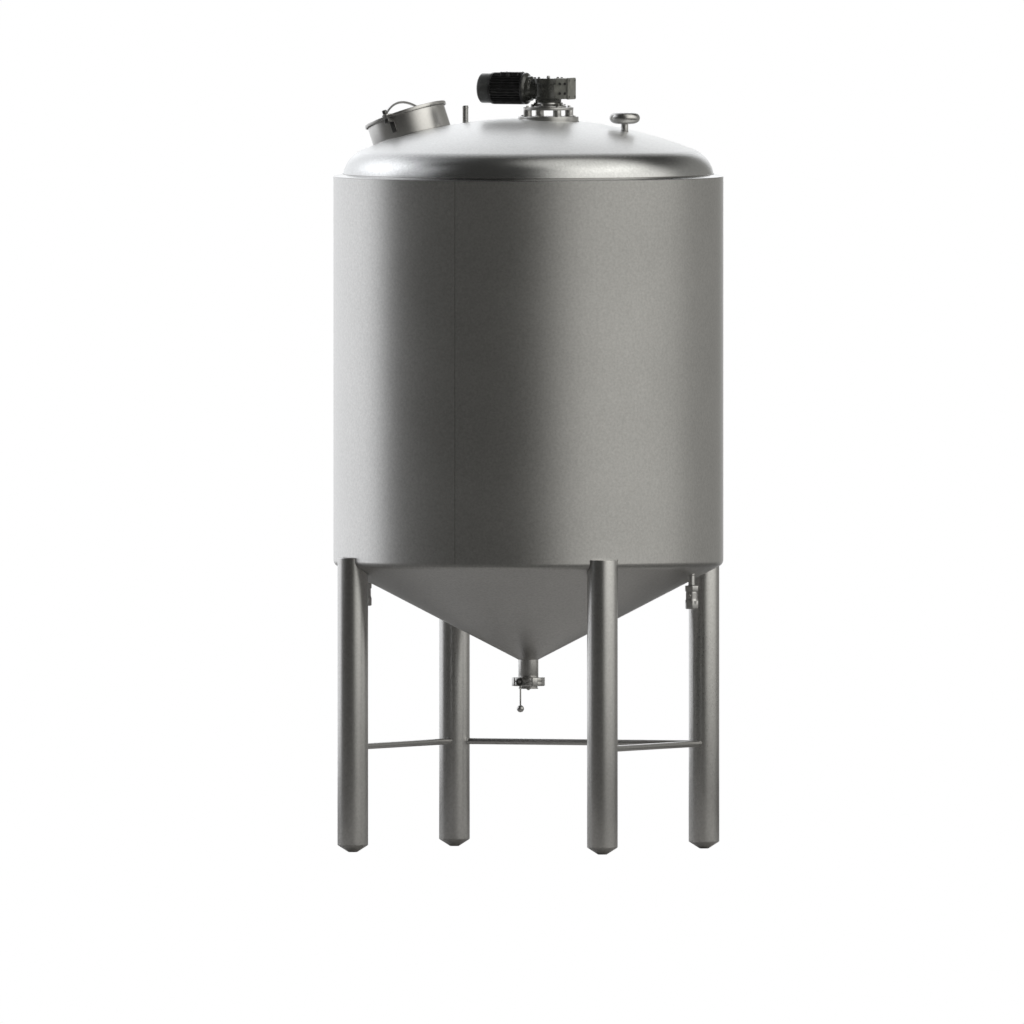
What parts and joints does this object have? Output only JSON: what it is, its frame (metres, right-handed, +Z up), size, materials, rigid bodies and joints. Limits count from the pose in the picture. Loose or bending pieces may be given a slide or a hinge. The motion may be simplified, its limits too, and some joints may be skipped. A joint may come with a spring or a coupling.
{
  "type": "insulated stainless steel process tank",
  "caption": "Upright insulated stainless steel process tank with a dished head, cone bottom, tube legs, hinged manhole lid, top drive and a lever-operated outlet valve.",
  "frame": {"origin": "on the ground, on the vessel's axis, midway between the four feet", "axes": "+Z up; -Y is the front, where the outlet lever hangs and no tie bar crosses; -X is the manhole side, +X the vent side"},
  "size_m": [2.1, 2.1, 4.193],
  "materials": {
    "leg_steel": "satin ground tube",
    "vessel_steel": "bead blasted, fine grain",
    "cladding_steel": "satin sheet with a fine grain",
    "neck_steel": "brushed round its axis",
    "dark_steel": "dark oxidised steel",
    "bright_steel": "turned, half bright",
    "gearbox_paint": "worn dark grey enamel on castings",
    "motor_paint": "black enamel on castings",
    "fan_cover_paint": "dark grey enamel on sheet"
  },
  "bodies": {
    "tank": {"leg_front_left": "leg_steel", "leg_front_right": "leg_steel", "leg_rear_left": "leg_steel", "leg_rear_right": "leg_steel", "foot_front_left": "leg_steel", "foot_front_right": "leg_steel", "foot_rear_left": "leg_steel", "foot_rear_right": "leg_steel", "brace_left": "leg_steel", "brace_right": "leg_steel", "brace_rear": "leg_steel", "support_ring": "vessel_steel", "vessel_shell": "vessel_steel", "head_crown_front": "vessel_steel", "head_crown_rear": "vessel_steel", "head_knuckle_front": "vessel_steel", "head_knuckle_rear": "vessel_steel", "vessel_cone": "vessel_steel", "cladding_front_right": "cladding_steel", "cladding_rear": "cladding_steel", "cladding_front_left": "cladding_steel", "cladding_top_ring": "cladding_steel", "cladding_cone": "cladding_steel", "manhole_neck": "neck_steel", "hinge_bracket": "neck_steel", "clamp_bracket": "dark_steel", "drive_pedestal": "bright_steel", "drive_ring": "bright_steel", "stub_tube": "bright_steel", "vent_stem": "bright_steel", "vent_cap": "bright_steel", "outlet_pipe": "bright_steel", "valve_body": "bright_steel", "outlet_ferrule": "bright_steel", "jacket_fitting_left": "bright_steel", "jacket_fitting_right": "bright_steel", "gearbox_housing": "gearbox_paint", "gearbox_end_cover": "gearbox_paint", "motor_adapter": "gearbox_paint", "gearbox_breather": "gearbox_paint", "motor_body": "motor_paint", "motor_terminal_box": "motor_paint", "motor_fan_cover": "fan_cover_paint"},
    "lid": {"manhole_lid": "neck_steel", "lid_bow": "neck_steel", "lid_clamp_screw": "dark_steel"},
    "lever": {"valve_disc": "bright_steel", "valve_lever": "dark_steel"}
  },
  "joints": [
    {"name": "lid_hinge", "type": "hinge", "parent": "tank", "child": "lid", "pos_m": [-0.716, 0.292, 3.957], "axis": [-0.9455, 0, -0.3256], "range_deg": [0, 110]},
    {"name": "lever_turn", "type": "hinge", "parent": "tank", "child": "lever", "pos_m": [0, 0, 0.909], "axis": [0, 1, 0], "range_deg": [0, 90]}
  ]
}
